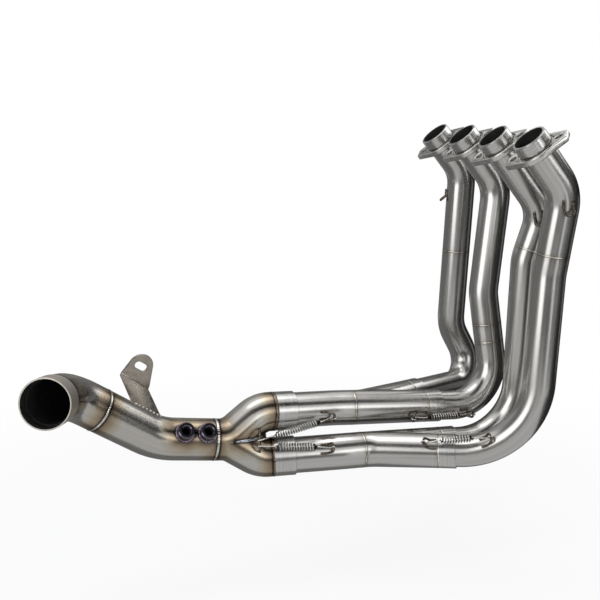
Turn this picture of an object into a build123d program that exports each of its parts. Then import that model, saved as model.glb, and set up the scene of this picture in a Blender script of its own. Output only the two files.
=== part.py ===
from build123d import *

import os
from math import cos, radians, sin, tan

# Four-into-two-into-one exhaust header of an inline-four motorcycle, in millimetres.
# +X is the front of the motorcycle, +Y its left side and +Z up. The origin is the middle of the
# port row, in the plane of the spigot rims. Pipes are numbered from the left of the motorcycle.

# Tube stock
primary_od = 38.1
secondary_od = 44.45
outlet_od = 50.8
tube_wall = 1.2

# Cylinder head side
port_pitch = 81.4
port_tilt = 40.0
spigot_od = 39.5
spigot_bore = 34.0
spigot_height = 19.0
shoulder_od = 44.0
shoulder_height = 3.0
rim_chamfer = 0.8
flange_thickness = 7.0
flange_hub_radius = 25.5
flange_length = 75.0
flange_tip_width = 15.0
flange_turn = 45.0
flange_edge = 0.8
flange_recess = 4.7
flange_clearance = 0.3
stud_spacing = 56.0
stud_hole = 8.5

# Slip joints
slip_clearance = 0.2
socket_wall = 1.7
socket_depth = 20.0
inlet_socket_depth = 27.0

# Primary pipes: run below the port, waist corner (forward of the ports, shift towards the middle
# plane, drop), straight run ahead of the socket, seams as distances from a corner, bend radii
upper_run = {1: 68.0, 2: 83.5, 3: 116.0, 4: 77.5}
waist_forward = {1: 40.0, 2: 37.5, 3: 60.0, 4: 43.0}
waist_inward = {1: -10.0, 2: 7.5, 3: 8.0, 4: 10.0}
waist_drop = {1: 274.0, 2: 205.0, 3: 150.0, 4: 156.0}
lower_run = {1: 163.0, 2: 106.0, 3: 108.0, 4: 110.0}
knee_radius = 50.0
waist_radius = 60.0
foot_radius = {1: 36.0, 2: 55.5, 3: 73.0, 4: 97.0}
seam_above_waist = {1: 111.0, 3: 13.0, 4: 25.0}
seam_below_waist = 42.0
seam_above_foot = 22.0

# Two-into-one collectors: outlet centre, inner branch in line with it, outer branch beside it
upper_outlet = (-152.0, 15.0, -342.0)
lower_outlet = (-150.0, -20.0, -386.0)
inner_reach = {"upper": 101.5, "lower": 106.0}
outer_reach = {"upper": 95.0, "lower": 87.5}
outer_offset = 43.0
inner_drop = {"upper": 7.5, "lower": 3.0}
outer_drop = {"upper": 7.0, "lower": -6.0}
collector_neck = 12.0
collector_land = 0.5

# Secondary pipes and Y-piece
secondary_lead = 24.0
secondary_radius = 150.0
upper_inlet = (-258.0, 8.0, -334.5)
lower_inlet = (-261.0, -8.0, -387.5)
y_outlet = (-332.0, 0.0, -360.5)
y_inlet_straight = 16.0
y_outlet_straight = 18.0
y_bend_radius = 36.0

# Outlet pipe, elbow and sleeve
dip_corner = (-401.0, -3.0, -351.0)
elbow_corner = (-501.0, -32.0, -276.0)
dip_radius = 75.0
elbow_radius = 52.0
elbow_seam = 44.0
outlet_yaw = 16.0
outlet_rise = 10.5
outlet_reach = 74.0
sleeve_length = 27.0
sleeve_od = 54.6
sleeve_bore = 51.8
sleeve_lap = 9.0
sleeve_chamfer = 0.6
weld_clearance = 0.05

# Lambda bungs on the outlet pipe
bung_od = 20.0
bung_height = 9.0
bung_bore = 10.8
bung_chamfer = 1.2
bung_distance = (14.0, 41.0)
bung_elevation = 38.0

# Hanger bracket, a folded sheet welded to the climbing stretch of the outlet pipe
bracket_sheet = 2.5
bracket_distance = 32.0
bracket_foot = 42.0
bracket_rise = (-11.0, 20.0, 29.0)
bracket_tab_rise = 19.0
bracket_tab_shift = 5.0
bracket_tab_radius = 15.0
bracket_slot_length = 16.0
bracket_slot_width = 9.0

# Spring hooks, bent from wire, and the tension springs between them
hook_wire = 3.0
hook_span = 10.5
hook_leg = 9.0
hook_bow = 6.0
hook_lift = 6.5
hook_bend = 2.6
hook_seat = 0.1
spring_od = 10.0
spring_wire = 1.6
spring_neck = 5.0
spring_shank = 20.0
spring_eye_play = 0.25
collector_bar = {1: 22.0, 2: 26.0, 3: 22.0, 4: 17.0}
primary_bar = {1: 64.0, 2: 58.0, 3: 64.0, 4: 70.0}
secondary_bar = 72.0
joint_angle = {1: 194.0, 2: -14.0, 3: 194.0, 4: 43.0}
secondary_angle = {"upper": -5.0, "lower": 34.0}
crotch_back = 25.0
crotch_span = 15.0
crotch_standoff = 32.0
crotch_eye_gap = 7.0
top_loop_run = {1: 78.0, 3: 95.0, 4: 67.0}
top_loop_azimuth = {1: 116.0, 3: 31.0, 4: 14.0}

port_axis = Vector(-sin(radians(port_tilt)), 0, cos(radians(port_tilt)))
pipe_numbers = (1, 2, 3, 4)
row_middle = sum(pipe_numbers) / len(pipe_numbers)
port_y = {number: (row_middle - number) * port_pitch for number in pipe_numbers}
socket_od = primary_od + 2 * slip_clearance + 2 * socket_wall
inlet_socket_od = secondary_od + 2 * slip_clearance + 2 * socket_wall
side_of = {1: 1, 2: 1, 3: -1, 4: -1}
parts = {}


def frame_at(point, axis, x_dir=None):
    return Plane(origin=Vector(point), x_dir=x_dir, z_dir=Vector(axis))


def outward(axis, angle):
    # Direction square to a tube's axis: 0 points to the right of the motorcycle, 90 points up
    level = axis.cross(Vector(0, 0, 1)).normalized()
    right = level if level.Y < 0 else -level
    raised = right.cross(axis).normalized()
    above = raised if raised.Z > 0 else -raised
    return right * cos(radians(angle)) + above * sin(radians(angle))


def run_path(points, radii):
    corners = [Vector(point) for point in points]
    if len(corners) == 2:
        return Line(corners[0], corners[1])
    return FilletPolyline(*corners, radius=list(radii))


def tube(points, radii, outer_diameter, wall=tube_wall):
    path = run_path(points, radii)
    section = Circle(outer_diameter / 2) - Circle(outer_diameter / 2 - wall)
    return sweep(frame_at(path @ 0, path % 0) * section, path)


def wire(points, radii, diameter):
    path = run_path(points, radii)
    return sweep(frame_at(path @ 0, path % 0) * Circle(diameter / 2), path)


def socket(start, axis, depth, pipe_diameter):
    bore = pipe_diameter / 2 + slip_clearance
    ring = Circle(bore + socket_wall) - Circle(bore)
    return extrude(frame_at(start, axis) * ring, depth)


def tapered_run(points, radii, start_diameter, end_diameter):
    path = run_path(points, radii)
    start = frame_at(path @ 0, path % 0) * Circle(start_diameter / 2)
    end = frame_at(path @ 1, path % 1) * Circle(end_diameter / 2)
    return sweep([start, end], path, multisection=True)


def merge_piece(branches, start_diameter, end_diameter):
    # Two tapered branches that run into one round outlet, open inside
    shell = Part()
    for points, radii in branches:
        shell += tapered_run(points, radii, start_diameter, end_diameter)
    for points, radii in branches:
        shell -= tapered_run(points, radii, start_diameter - 2 * tube_wall, end_diameter - 2 * tube_wall)
    return shell


# Collector layout: base of each socket and the direction in which its branch runs forward
def branch_base(number):
    side = side_of[number]
    name = "upper" if side > 0 else "lower"
    x, y, z = upper_outlet if side > 0 else lower_outlet
    if number in (2, 3):
        return Vector(x + inner_reach[name], y, z - inner_drop[name])
    return Vector(x + outer_reach[name], y + side * outer_offset, z - outer_drop[name])


def branch_outlet(number):
    return Vector(upper_outlet if side_of[number] > 0 else lower_outlet)


base = {number: branch_base(number) for number in pipe_numbers}
ahead = {number: (base[number] - branch_outlet(number)).normalized() for number in (2, 3)}
neck = {inner: branch_outlet(inner) + ahead[inner] * collector_neck for inner in (2, 3)}
ahead[1] = (base[1] - neck[2]).normalized()
ahead[4] = (base[4] - neck[3]).normalized()


# Primary pipe corners: rim, knee, waist and foot
def primary_corners(number):
    side = side_of[number]
    rim = Vector(0, port_y[number], 0)
    top = rim - port_axis * spigot_height
    knee = rim - port_axis * upper_run[number]
    waist_y = port_y[number] - side * waist_inward[number]
    waist = Vector(waist_forward[number], waist_y, -waist_drop[number])
    foot = base[number] + ahead[number] * lower_run[number]
    return top, knee, waist, foot, base[number]


corners = {number: primary_corners(number) for number in pipe_numbers}


# Port spigots, and loose flanges with a recess for the spigot's shoulder
def port_spigot(number):
    bore = spigot_bore / 2
    profile = Polyline(
        (bore, 0),
        (shoulder_od / 2, 0),
        (shoulder_od / 2, shoulder_height),
        (spigot_od / 2, shoulder_height),
        (spigot_od / 2, spigot_height - rim_chamfer),
        (spigot_od / 2 - rim_chamfer, spigot_height),
        (bore, spigot_height),
        close=True,
    )
    collar = revolve(make_face(Plane.XZ * profile), Axis.Z)
    return frame_at(corners[number][0], port_axis, (0, 1, 0)) * collar


def port_flange(number):
    hub = Circle(flange_hub_radius)
    tips = Rectangle(flange_length, flange_tip_width)
    outline = make_hull(hub.edges() + tips.edges())
    outline -= Circle(primary_od / 2 + flange_clearance)
    outline -= Locations((-stud_spacing / 2, 0), (stud_spacing / 2, 0)) * Circle(stud_hole / 2)
    plate = extrude(outline, flange_thickness)
    outer = plate.edges().filter_by(Plane.XY).filter_by(GeomType.LINE)
    plate = chamfer(outer, flange_edge)
    ledge = flange_thickness - flange_recess
    plate -= extrude(Plane.XY.offset(ledge) * Circle(shoulder_od / 2 + flange_clearance), flange_recess)
    seat = corners[number][0] - port_axis * ledge
    forward = Vector(cos(radians(port_tilt)), 0, sin(radians(port_tilt)))
    return frame_at(seat, port_axis, forward) * Rot(0, 0, -flange_turn) * plate


for number in pipe_numbers:
    parts[f"port_spigot_{number}"] = port_spigot(number)
    parts[f"port_flange_{number}"] = port_flange(number)


# Primary pipes, butt welded from bent lengths at the seams
def between(start, end, distance_from_end):
    return end + (start - end).normalized() * distance_from_end


for number in (1, 3, 4):
    top, knee, waist, foot, end = corners[number]
    seam = between(knee, waist, seam_above_waist[number])
    parts[f"primary_{number}_upper"] = tube([top, knee, seam], [knee_radius], primary_od)
    radii = [waist_radius, foot_radius[number]]
    parts[f"primary_{number}_lower"] = tube([seam, waist, foot, end], radii, primary_od)

top, knee, waist, foot, end = corners[2]
seam = between(foot, waist, seam_below_waist)
foot_turn = radians((waist - foot).get_angle(end - foot)) / 2
foot_tangent = foot_radius[2] * cos(foot_turn) / sin(foot_turn)
foot_seam = between(waist, foot, foot_tangent + seam_above_foot)
parts["primary_2_upper"] = tube([top, knee, waist, seam], [knee_radius, waist_radius], primary_od)
parts["primary_2_middle"] = tube([seam, foot_seam], [], primary_od)
parts["primary_2_lower"] = tube([foot_seam, foot, end], [foot_radius[2]], primary_od)

# Slip sockets and two-into-one collectors
for number in pipe_numbers:
    parts[f"slip_socket_{number}"] = socket(base[number], ahead[number], socket_depth, primary_od)


def collector(inner, outer):
    end = branch_outlet(inner)
    straight = ([base[inner], end], [])
    half_turn = radians(ahead[outer].get_angle(ahead[inner])) / 2
    bend_radius = (collector_neck - collector_land) / tan(half_turn)
    angled = ([base[outer], neck[inner], end], [bend_radius])
    return merge_piece((straight, angled), socket_od, secondary_od)


parts["upper_collector"] = collector(inner=2, outer=1)
parts["lower_collector"] = collector(inner=3, outer=4)

# Secondary pipes and the inlet sockets of the Y-piece
inlet = {"upper": Vector(upper_inlet), "lower": Vector(lower_inlet)}
outlet = {"upper": Vector(upper_outlet), "lower": Vector(lower_outlet)}
inner_pipe = {"upper": 2, "lower": 3}
lead = {name: outlet[name] - ahead[inner_pipe[name]] * secondary_lead for name in outlet}
back = {name: (inlet[name] - lead[name]).normalized() for name in inlet}
for name in ("upper", "lower"):
    points = [outlet[name], lead[name], inlet[name]]
    parts[f"{name}_secondary"] = tube(points, [secondary_radius], secondary_od)
    parts[f"{name}_inlet_socket"] = socket(inlet[name], -back[name], inlet_socket_depth, secondary_od)

# Y-piece
y_end = Vector(y_outlet)
y_out = (Vector(dip_corner) - y_end).normalized()
y_neck = y_end - y_out * y_outlet_straight
y_branches = []
for name in ("upper", "lower"):
    bend = inlet[name] + back[name] * y_inlet_straight
    y_branches.append(([inlet[name], bend, y_neck, y_end], [y_bend_radius, y_bend_radius]))
parts["y_piece"] = merge_piece(y_branches, inlet_socket_od, outlet_od)

# Outlet pipe, elbow and sleeve
dip = Vector(dip_corner)
turn = Vector(elbow_corner)
climb = (turn - dip).normalized()
elbow_start = turn - climb * elbow_seam
yaw, rise = radians(outlet_yaw), radians(outlet_rise)
outlet_axis = Vector(-sin(yaw) * cos(rise), -cos(yaw) * cos(rise), sin(rise))
elbow_end = turn + outlet_axis * (outlet_reach - sleeve_length + sleeve_lap)
outlet_pipe = tube([y_end, dip, elbow_start], [dip_radius], outlet_od)
parts["outlet_elbow"] = tube([elbow_start, turn, elbow_end], [elbow_radius], outlet_od)
lap_radius = outlet_od / 2 + weld_clearance
sleeve_profile = Polyline(
    (lap_radius, 0),
    (sleeve_od / 2 - sleeve_chamfer, 0),
    (sleeve_od / 2, sleeve_chamfer),
    (sleeve_od / 2, sleeve_length - sleeve_chamfer),
    (sleeve_od / 2 - sleeve_chamfer, sleeve_length),
    (sleeve_bore / 2, sleeve_length),
    (sleeve_bore / 2, sleeve_lap),
    (lap_radius, sleeve_lap),
    close=True,
)
sleeve_seat = frame_at(elbow_end - outlet_axis * sleeve_lap, outlet_axis)
parts["outlet_sleeve"] = sleeve_seat * revolve(make_face(Plane.XZ * sleeve_profile), Axis.Z)

# Lambda bungs: turned bosses saddled on the outlet pipe, with the pipe open below each
bung_axis = outward(y_out, bung_elevation)
pipe_body = wire([y_end, dip, elbow_start], [dip_radius], outlet_od)
for index, distance in enumerate(bung_distance, 1):
    seat = y_end + y_out * distance
    boss_length = outlet_od / 2 + bung_height
    boss = extrude(frame_at(seat, bung_axis) * Circle(bung_od / 2), boss_length)
    top_face = boss.faces().sort_by(Axis(seat, bung_axis))[-1]
    boss = chamfer(top_face.edges(), bung_chamfer)
    drill = extrude(frame_at(seat, bung_axis) * Circle(bung_bore / 2), boss_length)
    parts[f"lambda_bung_{index}"] = boss - pipe_body - drill
    outlet_pipe -= drill
parts["outlet_pipe"] = outlet_pipe

# Hanger bracket
foot_middle = dip + climb * bracket_distance
rise_vector = Vector(bracket_rise)
crown = (Vector(0, 0, 1) - climb * climb.Z).normalized()
foot_line = foot_middle + crown * (outlet_od / 2 - bracket_sheet)
fold_middle = foot_middle + crown * (outlet_od / 2) + rise_vector
half = climb * (bracket_foot / 2)
web_normal = climb.cross(fold_middle - foot_line).normalized()
web_corners = (foot_line - half, foot_line + half, fold_middle + half, fold_middle - half)
web = extrude(make_face(Polyline(*web_corners, close=True)), bracket_sheet / 2, dir=web_normal, both=True)
tab_plane = Plane(origin=fold_middle, x_dir=climb, z_dir=Vector(0, 1, 0) - climb * climb.Y)
slot_middle = (bracket_tab_shift, bracket_tab_rise)
lobe = Pos(*slot_middle) * Circle(bracket_tab_radius)
hinge = Line((-bracket_foot / 2, 0), (bracket_foot / 2, 0))
tab_outline = make_hull(lobe.edges() + [hinge.edge()])
tab_outline -= Pos(*slot_middle) * SlotOverall(bracket_slot_length, bracket_slot_width)
tab = extrude(tab_plane * tab_outline, bracket_sheet / 2, both=True)
parts["hanger_bracket"] = web + tab - pipe_body


# Spring hooks: two legs welded along the tube and a lifted bow that the spring's eye goes round
def wire_hook(middle, away, out, tube_radius):
    centre_distance = tube_radius + hook_wire / 2 + hook_seat
    half_span = hook_span / 2
    height = (centre_distance**2 - half_span**2) ** 0.5
    across = out.cross(away).normalized()

    def place(along, side, lift):
        return middle + away * along + across * (side * half_span) + out * (height + lift)

    arms = {}
    for side in (-1, 1):
        arms[side] = [place(-hook_leg, side, 0), place(0, side, 0), place(hook_bow, side, hook_lift)]
    points = arms[-1] + arms[1][::-1]
    bar = middle + away * hook_bow + out * (height + hook_lift)
    return wire(points, [hook_bend] * (len(points) - 2), hook_wire), bar, across


# Tension spring: close-wound coil with necked ends, shanks and an eye round each hook's bar
def tension_spring(start_bar, end_bar, start_across, end_across):
    line = end_bar - start_bar
    pull = line.normalized()
    coil_start = start_bar + pull * spring_shank
    coil_length = line.length - 2 * spring_shank
    coil_radius = spring_od / 2
    wire_radius = spring_wire / 2
    bore = coil_radius - spring_wire
    profile = Polyline(
        (0, 0),
        (wire_radius, 0),
        (coil_radius, spring_neck),
        (coil_radius, coil_length - spring_neck),
        (wire_radius, coil_length),
        (0, coil_length),
        (0, coil_length - spring_wire),
        (bore, coil_length - spring_neck),
        (bore, spring_neck),
        (0, spring_wire),
        close=True,
    )
    body = frame_at(coil_start, pull) * revolve(make_face(Plane.XZ * profile), Axis.Z)
    eye = hook_wire / 2 + wire_radius + spring_eye_play
    eye_width = 2 * eye
    eye_bend = eye - spring_eye_play
    for bar, inward, across in ((start_bar, pull, start_across), (end_bar, -pull, end_across)):
        rise = inward.cross(across).normalized() * eye
        shank_end = bar + inward * (spring_shank + spring_wire)
        points = [
            shank_end,
            bar + inward * (spring_shank - spring_neck),
            bar + inward * eye_width + rise,
            bar - inward * eye + rise,
            bar - inward * eye - rise,
            bar + inward * eye - rise,
        ]
        body += wire(points, [eye_width, eye_width, eye_bend, eye_bend], spring_wire)
    return body


def path_of(number):
    return run_path(corners[number], [knee_radius, waist_radius, foot_radius[number]])


def hook_on_pipe(number, run, towards_end, out):
    # Hook whose legs are centred a given run down the pipe, with its bow on the side asked for
    path = path_of(number)
    share = run / path.length
    away = path % share if towards_end else -(path % share)
    lean = (out - away * out.dot(away)).normalized()
    return wire_hook(path @ share + away * (hook_leg / 2), away, lean, primary_od / 2)


taper = (secondary_od - socket_od) / 2
leg_centre = hook_bow + hook_leg / 2
for number in pipe_numbers:
    branch_length = (base[number] - branch_outlet(number)).length
    branch_radius = socket_od / 2 + taper * (collector_bar[number] + hook_leg) / branch_length
    out = outward(ahead[number], joint_angle[number])
    seat = base[number] - ahead[number] * (collector_bar[number] - hook_bow)
    rear_hook, rear_bar, rear_across = wire_hook(seat, -ahead[number], out, branch_radius)
    run = path_of(number).length - primary_bar[number] + leg_centre
    front_hook, front_bar, front_across = hook_on_pipe(number, run, False, out)
    parts[f"collector_hook_{number}"] = rear_hook
    parts[f"primary_hook_{number}"] = front_hook
    parts[f"joint_spring_{number}"] = tension_spring(rear_bar, front_bar, rear_across, front_across)

# Hook in the crotch of the Y-piece, with the two springs that hold the secondary pipes
crotch_middle = (inlet["upper"] + inlet["lower"]) / 2 + y_out * crotch_back
stack = (inlet["upper"] - inlet["lower"]).normalized()
stack_out = outward(y_out, 0)
bar_middle = crotch_middle + stack_out * crotch_standoff
bar_ends = [bar_middle + stack * (crotch_span / 2), bar_middle - stack * (crotch_span / 2)]
feet = [inlet[name] + back[name] * y_inlet_straight for name in ("upper", "lower")]
crotch_hook = wire([feet[0], bar_ends[0], bar_ends[1], feet[1]], [hook_bend] * 2, hook_wire)
for points, radii in y_branches:
    crotch_hook -= tapered_run(points, radii, inlet_socket_od, outlet_od)
parts["crotch_hook"] = crotch_hook
for name, side in (("upper", 1), ("lower", -1)):
    out = outward(back[name], secondary_angle[name])
    seat = inlet[name] - back[name] * (secondary_bar - hook_bow)
    hook, bar, across = wire_hook(seat, -back[name], out, secondary_od / 2)
    parts[f"{name}_secondary_hook"] = hook
    crotch_bar = bar_middle + stack * (side * crotch_eye_gap / 2)
    parts[f"{name}_secondary_spring"] = tension_spring(crotch_bar, bar, stack, across)

# Spare wire loops at the knees of three primary pipes
for number, azimuth in top_loop_azimuth.items():
    facing = Vector(-sin(radians(azimuth)), -cos(radians(azimuth)), 0)
    loop, loop_bar, loop_across = hook_on_pipe(number, top_loop_run[number], True, facing)
    parts[f"top_loop_{number}"] = loop

os.makedirs("parts", exist_ok=True)
for name, shape in parts.items():
    export_step(shape, f"parts/{name}.step")
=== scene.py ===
from math import atan2, ceil, cos, pi, radians, sin, tan

import bmesh
import bpy
from mathutils import Matrix, Vector
from mathutils.kdtree import KDTree


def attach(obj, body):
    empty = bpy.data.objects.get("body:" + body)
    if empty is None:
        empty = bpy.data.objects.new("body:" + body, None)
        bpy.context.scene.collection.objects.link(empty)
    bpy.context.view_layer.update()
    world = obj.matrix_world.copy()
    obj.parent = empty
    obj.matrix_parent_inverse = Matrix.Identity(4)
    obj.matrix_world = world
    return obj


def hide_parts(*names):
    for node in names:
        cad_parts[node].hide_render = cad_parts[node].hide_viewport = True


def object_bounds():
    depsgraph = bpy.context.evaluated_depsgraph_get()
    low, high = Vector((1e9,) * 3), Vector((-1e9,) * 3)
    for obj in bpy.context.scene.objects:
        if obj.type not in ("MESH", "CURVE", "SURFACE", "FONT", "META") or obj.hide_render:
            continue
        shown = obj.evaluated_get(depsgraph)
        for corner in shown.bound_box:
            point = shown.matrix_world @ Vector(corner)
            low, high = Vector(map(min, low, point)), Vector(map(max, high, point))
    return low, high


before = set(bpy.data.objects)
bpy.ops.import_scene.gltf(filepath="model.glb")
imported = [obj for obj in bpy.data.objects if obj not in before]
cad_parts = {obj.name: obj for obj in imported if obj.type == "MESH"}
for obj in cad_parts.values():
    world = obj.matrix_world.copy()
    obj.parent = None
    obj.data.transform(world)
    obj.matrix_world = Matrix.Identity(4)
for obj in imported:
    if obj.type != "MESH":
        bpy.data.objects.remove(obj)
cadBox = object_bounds()
mm = 0.001
perMetre = 1 / mm  # turns a size in mm into a pattern's scale
sameSpot = 1e-6  # metres between points that count as one
print("frame loaded:", len(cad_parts), "nodes")


# Small tools

def linear(hexColour):
    # sRGB hex to a linear, opaque colour
    parts = [int(hexColour[i:i + 2], 16) / 255 for i in (0, 2, 4)]
    return tuple(c / 12.92 if c <= 0.04045 else ((c + 0.055) / 1.055) ** 2.4 for c in parts) + (1.0,)


def addNode(tree, kind, settings=None, inputs=None):
    node = tree.nodes.new(kind)
    for name, value in (settings or {}).items():
        if name == "stops":  # colour ramp: (place, colour) pairs
            while len(node.color_ramp.elements) < len(value):
                node.color_ramp.elements.new(1.0)
            for element, (place, colour) in zip(node.color_ramp.elements, value):
                element.position, element.color = place, colour
        else:
            setattr(node, name, value)
    for name, value in (inputs or {}).items():
        if isinstance(value, bpy.types.NodeSocket):
            tree.links.new(value, node.inputs[name])
        else:
            node.inputs[name].default_value = value
    return node


def startMaterial(name):
    material = bpy.data.materials.new(name)
    material.use_nodes = True
    tree = material.node_tree
    return material, tree, tree.nodes["Principled BSDF"]


def addPiece(name, mesh, materials, slotName, *standsFor):
    piece = bpy.data.objects.new(name, mesh)
    bpy.context.scene.collection.objects.link(piece)
    for material in materials:
        mesh.materials.append(material)
    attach(piece, "root")
    if standsFor:
        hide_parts(*standsFor)
    return piece


def closeMesh(bm, name, sharpAngle=32, flat=()):
    for face in bm.faces:
        face.smooth = face not in flat
    mesh = bpy.data.meshes.new(name)
    bm.to_mesh(mesh)
    bm.free()
    mesh.set_sharp_from_angle(angle=radians(sharpAngle))
    return mesh


def spot(values):
    return Vector(values) * mm


def squareTo(axis, point):
    # a place whose Z runs along axis
    return Matrix.Translation(point) @ axis.to_track_quat("Z", "Y").to_matrix().to_4x4()


# Layout of the header in millimetres, in the frame's own axes

stock = {"primary": 38.1, "secondary": 44.45, "outlet": 50.8, "wall": 1.2}
ports = {
    "pitch": 81.4, "tilt": 40.0, "spigot": 39.5, "bore": 34.0, "height": 19.0,
    "shoulder": 44.0, "shoulderHeight": 3.0, "shoulderEdge": 0.3, "chamfer": 0.8,
}
primaries = {
    "upperRun": {1: 68.0, 2: 83.5, 3: 116.0, 4: 77.5},
    "waistForward": {1: 40.0, 2: 37.5, 3: 60.0, 4: 43.0},
    "waistInward": {1: -10.0, 2: 7.5, 3: 8.0, 4: 10.0},
    "waistDrop": {1: 274.0, 2: 205.0, 3: 150.0, 4: 156.0},
    "lowerRun": {1: 163.0, 2: 106.0, 3: 108.0, 4: 110.0},
    "kneeBend": 50.0, "waistBend": 60.0, "footBend": {1: 36.0, 2: 55.5, 3: 73.0, 4: 97.0},
    "seamAboveWaist": {1: 111.0, 3: 13.0, 4: 25.0}, "seamBelowWaist": 42.0, "seamAboveFoot": 22.0,
}
collectors = {
    "outlet": {"upper": (-152.0, 15.0, -342.0), "lower": (-150.0, -20.0, -386.0)},
    "innerReach": {"upper": 101.5, "lower": 106.0}, "outerReach": {"upper": 95.0, "lower": 87.5},
    "outerOffset": 43.0,
    "innerDrop": {"upper": 7.5, "lower": 3.0}, "outerDrop": {"upper": 7.0, "lower": -6.0},
    "neck": 12.0, "land": 0.5,
}
slip = {"clearance": 0.2, "wall": 1.7, "depth": 20.0, "inletDepth": 27.0, "lip": 0.4}
rear = {
    "secondaryLead": 24.0, "secondaryBend": 150.0,
    "inlet": {"upper": (-258.0, 8.0, -334.5), "lower": (-261.0, -8.0, -387.5)},
    "yOutlet": (-332.0, 0.0, -360.5), "yInletStraight": 16.0, "yOutletStraight": 18.0, "yBend": 36.0,
    "dip": (-401.0, -3.0, -351.0), "turn": (-501.0, -32.0, -276.0), "dipBend": 75.0, "turnBend": 52.0,
    "elbowSeam": 44.0, "outletYaw": 16.0, "outletRise": 10.5, "outletReach": 74.0,
    "sleeve": 27.0, "sleeveDiameter": 54.6, "sleeveBore": 51.8, "sleeveLap": 9.0, "sleeveChamfer": 0.6,
    # the last: mm behind the sleeve of dark tint bands, painted shade at the joint
    "sleevePlay": 0.05, "sleeveShade": (2.5, 5.5, 7.5),
}
bungs = {
    "diameter": 20.0, "height": 9.0, "root": 3.0, "bore": 10.8, "chamfer": 1.2, "mouth": 0.9,
    # the last: mm past the bore over which the painted shade reaches, across the thread
    "along": (14.0, 41.0), "elevation": 38.0, "hole": 15.0, "shadeDepth": 0.3,
}
hooks = {
    "wire": 3.0, "span": 10.5, "leg": 9.0, "bow": 6.0, "lift": 6.5, "bend": 2.6, "seat": 0.1,
    "collectorBar": {1: 22.0, 2: 26.0, 3: 22.0, 4: 17.0}, "primaryBar": {1: 64.0, 2: 58.0, 3: 64.0, 4: 70.0},
    "secondaryBar": 72.0, "jointAngle": {1: 194.0, 2: -14.0, 3: 194.0, 4: 43.0},
    "secondaryAngle": {"upper": -5.0, "lower": 34.0},
    "crotchBack": 25.0, "crotchSpan": 15.0, "crotchStandoff": 32.0, "crotchEyeGap": 7.0,
    "loopRun": {1: 78.0, 3: 95.0, 4: 67.0}, "loopAzimuth": {1: 116.0, 3: 31.0, 4: 14.0},
}

pipeNumbers = (1, 2, 3, 4)
sideOf = {1: 1, 2: 1, 3: -1, 4: -1}
levelOf = {1: "upper", 2: "upper", 3: "lower", 4: "lower"}
innerPipe = {"upper": 2, "lower": 3}
outerPipe = {"upper": 1, "lower": 4}
portAxis = Vector((-sin(radians(ports["tilt"])), 0, cos(radians(ports["tilt"]))))
rowMiddle = sum(pipeNumbers) / len(pipeNumbers)
portY = {n: (rowMiddle - n) * ports["pitch"] for n in pipeNumbers}
socketOuter = stock["primary"] + 2 * (slip["clearance"] + slip["wall"])
inletOuter = stock["secondary"] + 2 * (slip["clearance"] + slip["wall"])
outletOf = {level: spot(place) for level, place in collectors["outlet"].items()}


def branchBase(n):
    level = levelOf[n]
    place = outletOf[level]
    if n in innerPipe.values():
        return place + spot((collectors["innerReach"][level], 0, -collectors["innerDrop"][level]))
    offset = sideOf[n] * collectors["outerOffset"]
    return place + spot((collectors["outerReach"][level], offset, -collectors["outerDrop"][level]))


base = {n: branchBase(n) for n in pipeNumbers}
ahead = {n: (base[n] - outletOf[levelOf[n]]).normalized() for n in innerPipe.values()}
neck = {level: outletOf[level] + ahead[innerPipe[level]] * collectors["neck"] * mm for level in outletOf}
for level, n in outerPipe.items():
    ahead[n] = (base[n] - neck[level]).normalized()


def primaryCorners(n):
    rim = spot((0, portY[n], 0))
    top = rim - portAxis * ports["height"] * mm
    knee = rim - portAxis * primaries["upperRun"][n] * mm
    waistY = portY[n] - sideOf[n] * primaries["waistInward"][n]
    waist = spot((primaries["waistForward"][n], waistY, -primaries["waistDrop"][n]))
    foot = base[n] + ahead[n] * primaries["lowerRun"][n] * mm
    return [top, knee, waist, foot, base[n]]


corners = {n: primaryCorners(n) for n in pipeNumbers}
inlet = {level: spot(place) for level, place in rear["inlet"].items()}
lead = {level: outletOf[level] - ahead[innerPipe[level]] * rear["secondaryLead"] * mm for level in inlet}
back = {level: (inlet[level] - lead[level]).normalized() for level in inlet}
yEnd = spot(rear["yOutlet"])
dip = spot(rear["dip"])
turn = spot(rear["turn"])
yOut = (dip - yEnd).normalized()
yNeck = yEnd - yOut * rear["yOutletStraight"] * mm
climb = (turn - dip).normalized()
elbowStart = turn - climb * rear["elbowSeam"] * mm
yaw, rise = radians(rear["outletYaw"]), radians(rear["outletRise"])
outletAxis = Vector((-sin(yaw) * cos(rise), -cos(yaw) * cos(rise), sin(rise)))
elbowEnd = turn + outletAxis * (rear["outletReach"] - rear["sleeve"] + rear["sleeveLap"]) * mm


def outward(axis, angle):
    # square to a tube: 0 points to the right of the motorcycle, 90 points up
    level = axis.cross(Vector((0, 0, 1))).normalized()
    right = level if level.y < 0 else -level
    raised = right.cross(axis).normalized()
    above = raised if raised.z > 0 else -raised
    return right * cos(radians(angle)) + above * sin(radians(angle))


# Straight and bent stretches of a tube or wire

def stretchesOf(points, bends):
    stretches = []
    here = points[0]
    for before, corner, after, bend in zip(points, points[1:], points[2:], bends):
        arrive = (corner - before).normalized()
        leave = (after - corner).normalized()
        angle = arrive.angle(leave)
        reach = bend * mm * tan(angle / 2)
        start = corner - arrive * reach
        axis = arrive.cross(leave).normalized()
        stretches.append({"start": here, "end": start, "length": (start - here).length})
        centre = start + axis.cross(arrive) * bend * mm
        stretches.append({"start": start, "centre": centre, "axis": axis, "angle": angle,
                          "heading": arrive, "length": bend * mm * angle})
        here = corner + leave * reach
    stretches.append({"start": here, "end": points[-1], "length": (points[-1] - here).length})
    return stretches


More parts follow.
